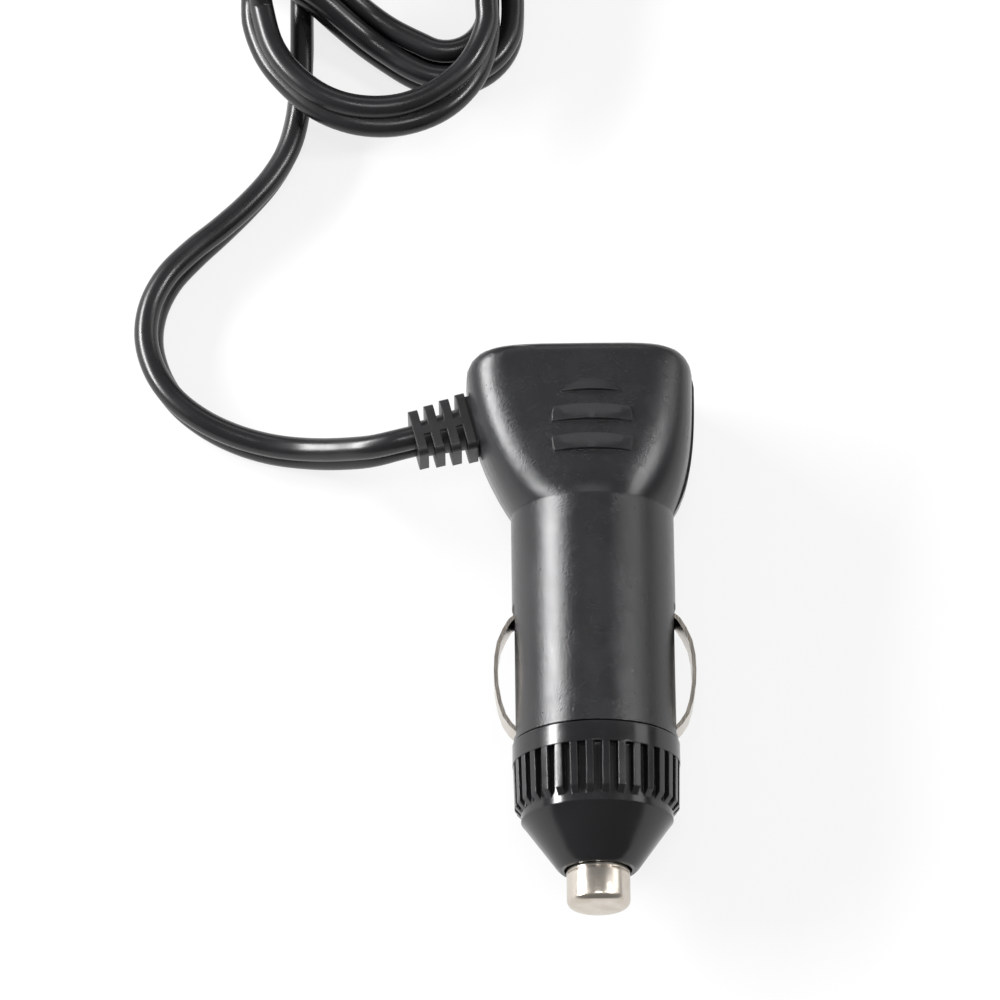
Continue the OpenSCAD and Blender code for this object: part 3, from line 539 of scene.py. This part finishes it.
def drawn_strip(name, colour, rough):
    """A spring strip with fine scratches along Y."""
    material, tree, shader = new_material(name, colour, 0.24, metallic=1.0)
    stretch = add(tree, "ShaderNodeMapping")
    stretch.inputs["Scale"].default_value = (9000, 300, 9000)
    feed(tree, object_place(tree), stretch.inputs["Vector"])
    scratches = noise(tree, stretch.outputs["Vector"], 1.0, detail=3.0)
    bump = add(tree, "ShaderNodeBump")
    feed(tree, SCRATCH_DEPTH, bump.inputs["Distance"])
    feed(tree, scratches, bump.inputs["Height"])
    feed(tree, bump.outputs["Normal"], shader.inputs["Normal"])
    feed(tree, between(tree, scratches, *rough), shader.inputs["Roughness"])
    return material


def clear_glass(name, colour, rough):
    """Fuse glass, with faint streaks."""
    material, tree, shader = new_material(name, colour, 0.03)
    feed(tree, 1.0, shader.inputs["Transmission Weight"])
    feed(tree, 1.5, shader.inputs["IOR"])
    streaks = noise(tree, object_place(tree), 420.0, detail=2.0)
    feed(tree, between(tree, streaks, *rough), shader.inputs["Roughness"])
    return material


satin_plastic = moulded(
    "satin_plastic", (0.0135, 0.0137, 0.015), (0.2, 0.27), grain=0.2, depth=0.045, edge=0.16,
    worn=(0.03, 0.03, 0.032), dust=0.05)
gloss_plastic = moulded(
    "gloss_plastic", (0.009, 0.009, 0.01), (0.14, 0.24), grain=0.5, depth=0.003, edge=0.24,
    worn=(0.03, 0.03, 0.032), dust=0.03)
relief_rubber = moulded(
    "relief_rubber", (0.011, 0.011, 0.012), (0.34, 0.46), grain=0.3, depth=0.012, edge=0.22,
    worn=(0.02, 0.02, 0.021), wear=0.2, dust=0.05)
lead_sheath = moulded(
    "lead_sheath", (0.008, 0.008, 0.009), (0.25, 0.33), grain=0.7, depth=0.004, edge=0.1, dust=0.03)
black_wire = moulded("black_wire", (0.012, 0.012, 0.012), (0.25, 0.35), grain=0.3, depth=0.003, edge=0.1)
red_wire = moulded("red_wire", (0.42, 0.018, 0.014), (0.28, 0.4), grain=0.3, depth=0.003, edge=0.1)
fibre = moulded(
    "fibre", (0.22, 0.095, 0.04), (0.5, 0.65), grain=0.12, depth=0.015, edge=0.12, worn=(0.3, 0.16, 0.08))
nickel = metal("nickel", (0.66, 0.61, 0.55), (0.56, 0.5, 0.43), (0.17, 0.27), 0.0025, turned=0.6)
brass = metal("brass", (0.72, 0.54, 0.26), (0.58, 0.41, 0.18), (0.24, 0.36), 0.002)
screw_steel = metal("screw_steel", (0.42, 0.42, 0.43), (0.34, 0.33, 0.33), (0.28, 0.4), 0.002)
leaf_nickel = drawn_strip("leaf_nickel", (0.6, 0.55, 0.49), (0.18, 0.32))
glass = clear_glass("glass", (0.93, 0.97, 0.97), (0.02, 0.08))

# Each socket sleeve has its rings round its own axis
SOCKET_X = (-33.5, -2.5)
SOCKET_Z = 3.575
sleeve_left, sleeve_right = [
    metal(
        "sleeve_metal", (0.62, 0.6, 0.57), (0.55, 0.53, 0.5), (0.22, 0.34), 0.002,
        centre=(x, SOCKET_Z), turned=0.6)
    for x in SOCKET_X
]


def make_smoothing():
    """Welds a CAD mesh's corners for shading, and rounds it off except over its real edges."""
    group = bpy.data.node_groups.new("even_shading", "GeometryNodeTree")
    group.interface.new_socket(name="Geometry", in_out="INPUT", socket_type="NodeSocketGeometry")
    real_edge = group.interface.new_socket(name="Edge angle", in_out="INPUT", socket_type="NodeSocketFloat")
    real_edge.default_value = 0.55
    group.interface.new_socket(name="Geometry", in_out="OUTPUT", socket_type="NodeSocketGeometry")
    given = group.nodes.new("NodeGroupInput")
    out = group.nodes.new("NodeGroupOutput")
    plain = group.nodes.new("GeometryNodeRemoveAttribute")
    plain.inputs["Name"].default_value = "custom_normal"
    weld = group.nodes.new("GeometryNodeMergeByDistance")
    weld.inputs["Distance"].default_value = 0.002 * MM
    smooth = add(group, "GeometryNodeSetShadeSmooth", domain="FACE")
    sharpen = add(group, "GeometryNodeSetShadeSmooth", domain="EDGE")
    sharpen.inputs["Shade Smooth"].default_value = False
    angle = group.nodes.new("GeometryNodeInputMeshEdgeAngle")
    wide = add(group, "FunctionNodeCompare", data_type="FLOAT", operation="GREATER_THAN")
    feed(group, angle.outputs["Unsigned Angle"], wide.inputs["A"])
    feed(group, given.outputs["Edge angle"], wide.inputs["B"])
    feed(group, wide.outputs["Result"], sharpen.inputs["Selection"])
    steps = (given, plain, weld, smooth, sharpen, out)
    for step, following in zip(steps, steps[1:]):
        feed(group, step.outputs["Geometry"], following.inputs["Geometry"])
    return group


smoothing = make_smoothing()
finishes = {
    "front_shell": satin_plastic, "rear_shell": satin_plastic, "nose_cap": gloss_plastic,
    "contact_tip": nickel, "fuse_glass": glass, "fuse_end_caps": nickel, "fuse_wire": nickel,
    "contact_spring": nickel, "spring_seat": brass, "side_spring_left": leaf_nickel,
    "side_spring_right": leaf_nickel, "ground_ring": brass, "positive_wire": red_wire,
    "negative_wire": black_wire, "strain_relief": relief_rubber, "shell_screws": screw_steel,
    "lead_tie": relief_rubber, "housing_relief": relief_rubber, "housing_base": satin_plastic,
    "housing_cover": satin_plastic, "housing_screws": screw_steel, "socket_sleeve_left": sleeve_left,
    "socket_sleeve_right": sleeve_right, "socket_floor_left": fibre, "socket_floor_right": fibre,
    "centre_contact_left": brass, "centre_contact_right": brass, "positive_bus": brass,
    "negative_bus": brass, "housing_positive_wire": red_wire, "housing_negative_wire": black_wire,
}
for name, node in nodes.items():
    node.data.materials.clear()
    node.data.materials.append(finishes.get(name, lead_sheath))
    if name in finishes:
        node.modifiers.new("even_shading", "NODES").node_group = smoothing
twin_lead.data.materials.append(lead_sheath)
spring_wire.data.materials.append(nickel)


def white_table_material(glow_share):
    """A white that glows to the camera, in reflections and through glass, and keeps its shadows."""
    material, tree, shader = new_material("white_table", (0.8, 0.8, 0.8), 0.9)
    glow = add(tree, "ShaderNodeEmission")
    feed(tree, (1, 1, 1), glow.inputs["Color"])
    feed(tree, 1.0, glow.inputs["Strength"])
    rays = add(tree, "ShaderNodeLightPath")
    seen = maths(tree, "MAXIMUM", rays.outputs["Is Camera Ray"], rays.outputs["Is Glossy Ray"])
    seen = maths(tree, "MAXIMUM", seen, rays.outputs["Is Transmission Ray"])
    blend = add(tree, "ShaderNodeMixShader")
    feed(tree, maths(tree, "MULTIPLY", seen, glow_share), blend.inputs["Fac"])
    feed(tree, shader.outputs["BSDF"], blend.inputs[1])
    feed(tree, glow.outputs["Emission"], blend.inputs[2])
    feed(tree, blend.outputs["Shader"], tree.nodes["Material Output"].inputs["Surface"])
    return material


# The table, in metres
HALF_TABLE = 3
table_corners = [
    (x * HALF_TABLE, y * HALF_TABLE, FLOOR * MM) for x, y in ((-1, -1), (1, -1), (1, 1), (-1, 1))]
table = add_piece("table", table_corners, [(0, 1, 2, 3)], smooth=False)
table.data.materials.append(white_table_material(glow_share=0.8))

# The light, in metres and watts. Every lamp faces the plug.
PLUG_MIDDLE = Vector((-0.01, 0.02, 0))


def softbox(name, direction, distance, size, power):
    """A rectangular lamp, so far from the plug in a direction; size is its width and height."""
    lamp = bpy.data.lights.new(name, "AREA")
    lamp.shape = "RECTANGLE"
    lamp.size, lamp.size_y = size
    lamp.energy = power
    holder = bpy.data.objects.new(name, lamp)
    toward = Vector(direction).normalized()
    holder.location = PLUG_MIDDLE + toward * distance
    holder.rotation_mode = "QUATERNION"
    holder.rotation_quaternion = (-toward).to_track_quat("-Z", "Y")
    bpy.context.scene.collection.objects.link(holder)


softbox("left_strip", (-0.83, 0.22, 0.44), 0.7, (0.6, 0.14), 11.0)
softbox("right_fill", (0.84, 0.35, 0.42), 0.9, (0.5, 0.3), 1.1)
softbox("right_spot", (0.66, -0.02, 0.75), 0.8, (0.12, 0.12), 2.6)
softbox("overhead", (0, -0.1, 1), 0.9, (0.2, 0.16), 1.2)
softbox("back_glow", (0, 0.83, 0.56), 1.0, (0.5, 0.25), 0.6)
world = bpy.data.worlds.new("studio")
world.use_nodes = True
world.node_tree.nodes["Background"].inputs["Color"].default_value = (1, 1, 1, 1)
world.node_tree.nodes["Background"].inputs["Strength"].default_value = 0.24
bpy.context.scene.world = world
